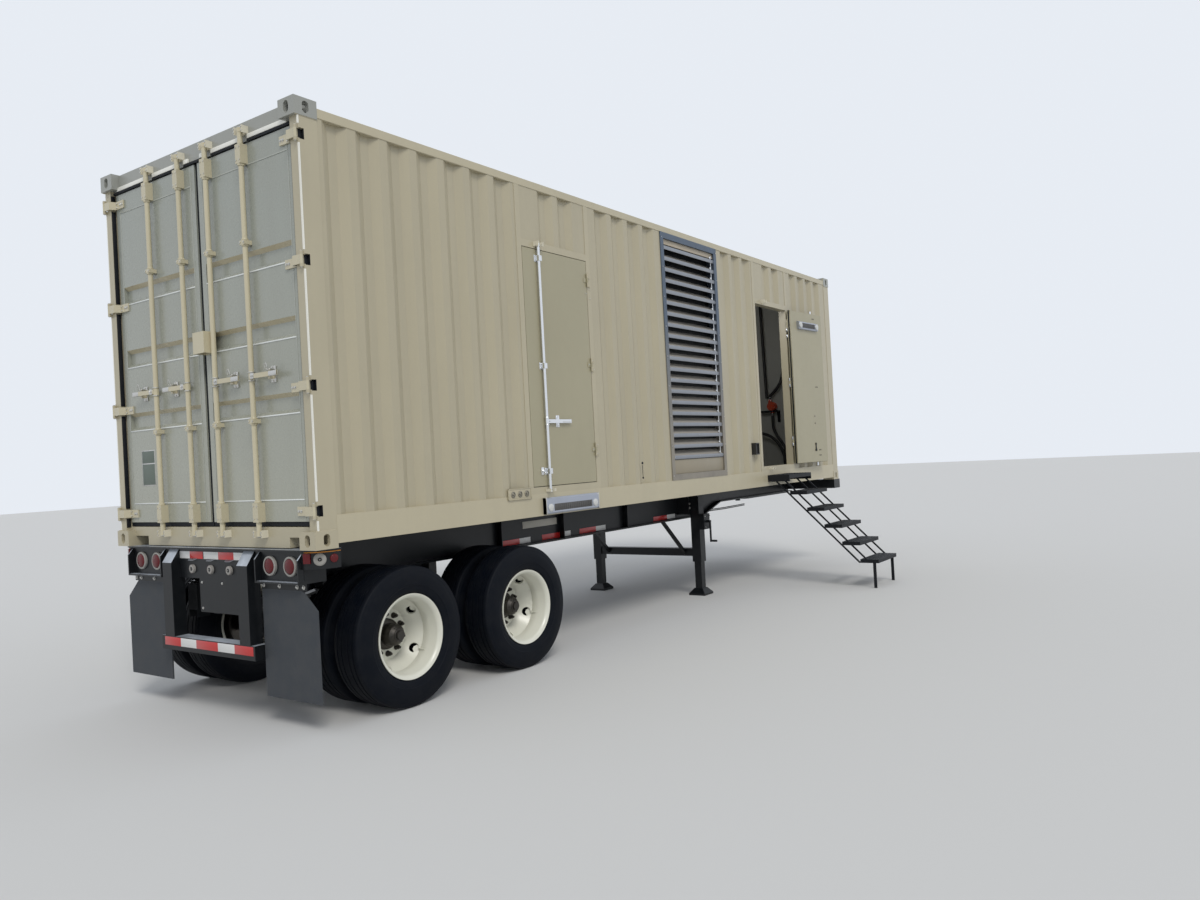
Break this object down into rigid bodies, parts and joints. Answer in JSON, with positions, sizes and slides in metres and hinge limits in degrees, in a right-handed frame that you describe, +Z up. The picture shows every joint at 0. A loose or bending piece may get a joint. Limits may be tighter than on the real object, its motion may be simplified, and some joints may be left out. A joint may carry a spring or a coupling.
{
  "type": "diesel generator",
  "caption": "Containerised diesel generator on a skeletal tandem road chassis, with cargo doors, side louvres, personnel doors, landing gear and a hook-on stair.",
  "frame": {"origin": "on the ground, on the centreline, under the middle of the container's length", "axes": "+X from the cargo doors to the front end, -Y the side with the personnel doors and the stair, +Z up"},
  "size_m": [9.198, 3.753, 4.081],
  "materials": {
    "container_paint": "satin sand paint",
    "door_rubber": "matt black",
    "louvre_metal": "mill finish",
    "bright_steel": "polished",
    "keeper_paint": "satin sand paint",
    "floor_steel": "dull dark grey",
    "chassis_paint": "satin black paint",
    "stair_paint": "textured black paint",
    "lock_post_paint": "orange paint",
    "flap_rubber": "matt charcoal",
    "lamp_lens": "red lens",
    "tyre_rubber": "worn black",
    "wheel_paint": "gloss white paint",
    "rail_lamp_metal": "brushed",
    "socket_plastic": "matt black",
    "pump_paint": "red paint",
    "hose_rubber": "matt black"
  },
  "bodies": {
    "unit": {"axles": "chassis_paint", "corner_castings": "container_paint", "corner_posts": "container_paint", "cross_members": "chassis_paint", "end_rails": "container_paint", "floor_deck": "floor_steel", "front_wall": "container_paint", "fuel_hoses": "hose_rubber", "fuel_pump": "pump_paint", "leaf_springs": "chassis_paint", "left_wall": "container_paint", "leg_frame": "chassis_paint", "leg_housings": "chassis_paint", "lock_posts": "lock_post_paint", "louvre_blades_left": "louvre_metal", "louvre_blades_right": "louvre_metal", "louvre_frames": "louvre_metal", "main_beams": "chassis_paint", "mud_flaps": "flap_rubber", "power_socket": "socket_plastic", "pump_bracket": "chassis_paint", "rail_lamp": "rail_lamp_metal", "rear_bolster": "chassis_paint", "right_wall": "container_paint", "rod_keepers": "keeper_paint", "roof_panel": "container_paint", "side_door_frames": "container_paint", "side_rails": "container_paint", "spring_hangers": "chassis_paint", "stair": "stair_paint", "stair_landing": "stair_paint", "tail_lamps": "lamp_lens", "underride_guard": "chassis_paint", "upper_coupler": "chassis_paint"},
    "cargo_door_right_body": {"cargo_door_right": "container_paint", "door_gasket_right": "door_rubber", "lock_box": "container_paint"},
    "cargo_door_left_body": {"cargo_door_left": "container_paint", "door_gasket_left": "door_rubber"},
    "lock_rod_right_outer_body": {"lock_rod_right_outer": "container_paint"},
    "lock_rod_right_inner_body": {"lock_rod_right_inner": "container_paint"},
    "lock_rod_left_inner_body": {"lock_rod_left_inner": "container_paint"},
    "lock_rod_left_outer_body": {"lock_rod_left_outer": "container_paint"},
    "side_door_body": {"side_door": "container_paint", "side_door_brackets": "bright_steel"},
    "side_door_rod_body": {"side_door_rod": "bright_steel"},
    "access_door_body": {"access_door": "container_paint", "access_door_rod": "bright_steel", "access_door_lamp": "rail_lamp_metal"},
    "landing_leg_right_body": {"landing_leg_right": "chassis_paint"},
    "landing_leg_left_body": {"landing_leg_left": "chassis_paint"},
    "wheel_rear_right_body": {"wheels_rear_right": "wheel_paint", "tyres_rear_right": "tyre_rubber"},
    "wheel_rear_left_body": {"wheels_rear_left": "wheel_paint", "tyres_rear_left": "tyre_rubber"},
    "wheel_front_right_body": {"wheels_front_right": "wheel_paint", "tyres_front_right": "tyre_rubber"},
    "wheel_front_left_body": {"wheels_front_left": "wheel_paint", "tyres_front_left": "tyre_rubber"}
  },
  "joints": [
    {"name": "cargo_door_right_hinge", "type": "hinge", "parent": "unit", "child": "cargo_door_right_body", "pos_m": [-4.5505, -1.203, 2.633], "axis": [0, 0, 1], "range_deg": [0, 250]},
    {"name": "cargo_door_left_hinge", "type": "hinge", "parent": "unit", "child": "cargo_door_left_body", "pos_m": [-4.5505, 1.203, 2.633], "axis": [0, 0, -1], "range_deg": [0, 250]},
    {"name": "lock_rod_right_outer_turn", "type": "hinge", "parent": "cargo_door_right_body", "child": "lock_rod_right_outer_body", "pos_m": [-4.5385, -0.6, 2.345], "axis": [0, 0, 1], "range_deg": [-90, 0]},
    {"name": "lock_rod_right_inner_turn", "type": "hinge", "parent": "cargo_door_right_body", "child": "lock_rod_right_inner_body", "pos_m": [-4.5385, -0.175, 2.345], "axis": [0, 0, 1], "range_deg": [-90, 0]},
    {"name": "lock_rod_left_outer_turn", "type": "hinge", "parent": "cargo_door_left_body", "child": "lock_rod_left_outer_body", "pos_m": [-4.5385, 0.6, 2.345], "axis": [0, 0, -1], "range_deg": [-90, 0]},
    {"name": "lock_rod_left_inner_turn", "type": "hinge", "parent": "cargo_door_left_body", "child": "lock_rod_left_inner_body", "pos_m": [-4.5385, 0.175, 2.345], "axis": [0, 0, -1], "range_deg": [-90, 0]},
    {"name": "side_door_hinge", "type": "hinge", "parent": "unit", "child": "side_door_body", "pos_m": [-1.4645, -1.224, 2.464], "axis": [0, 0, 1], "range_deg": [0, 165]},
    {"name": "side_door_rod_turn", "type": "hinge", "parent": "side_door_body", "child": "side_door_rod_body", "pos_m": [-2.1725, -1.232, 2.008], "axis": [0, 0, 1], "range_deg": [-90, 0]},
    {"name": "access_door_hinge", "type": "hinge", "parent": "unit", "child": "access_door_body", "pos_m": [2.9805, -1.224, 2.464], "axis": [0, 0, 1], "range_deg": [-176, 0]},
    {"name": "wheel_rear_right_spin", "type": "hinge", "parent": "unit", "child": "wheel_rear_right_body", "pos_m": [-3.7795, -0.919, 0.495], "axis": [0, 1, 0], "continuous": true},
    {"name": "wheel_rear_left_spin", "type": "hinge", "parent": "unit", "child": "wheel_rear_left_body", "pos_m": [-3.7795, 0.919, 0.495], "axis": [0, 1, 0], "continuous": true},
    {"name": "wheel_front_right_spin", "type": "hinge", "parent": "unit", "child": "wheel_front_right_body", "pos_m": [-2.5195, -0.919, 0.495], "axis": [0, 1, 0], "continuous": true},
    {"name": "wheel_front_left_spin", "type": "hinge", "parent": "unit", "child": "wheel_front_left_body", "pos_m": [-2.5195, 0.919, 0.495], "axis": [0, 1, 0], "continuous": true},
    {"name": "landing_leg_right_slide", "type": "slide", "parent": "unit", "child": "landing_leg_right_body", "axis": [0, 0, 1], "range_m": [0, 0.3]},
    {"name": "landing_leg_left_slide", "type": "slide", "parent": "unit", "child": "landing_leg_left_body", "axis": [0, 0, 1], "range_m": [0, 0.3]}
  ],
  "couplings": [
    {"joint": "landing_leg_left_slide", "follows": "landing_leg_right_slide", "ratio": 1}
  ]
}
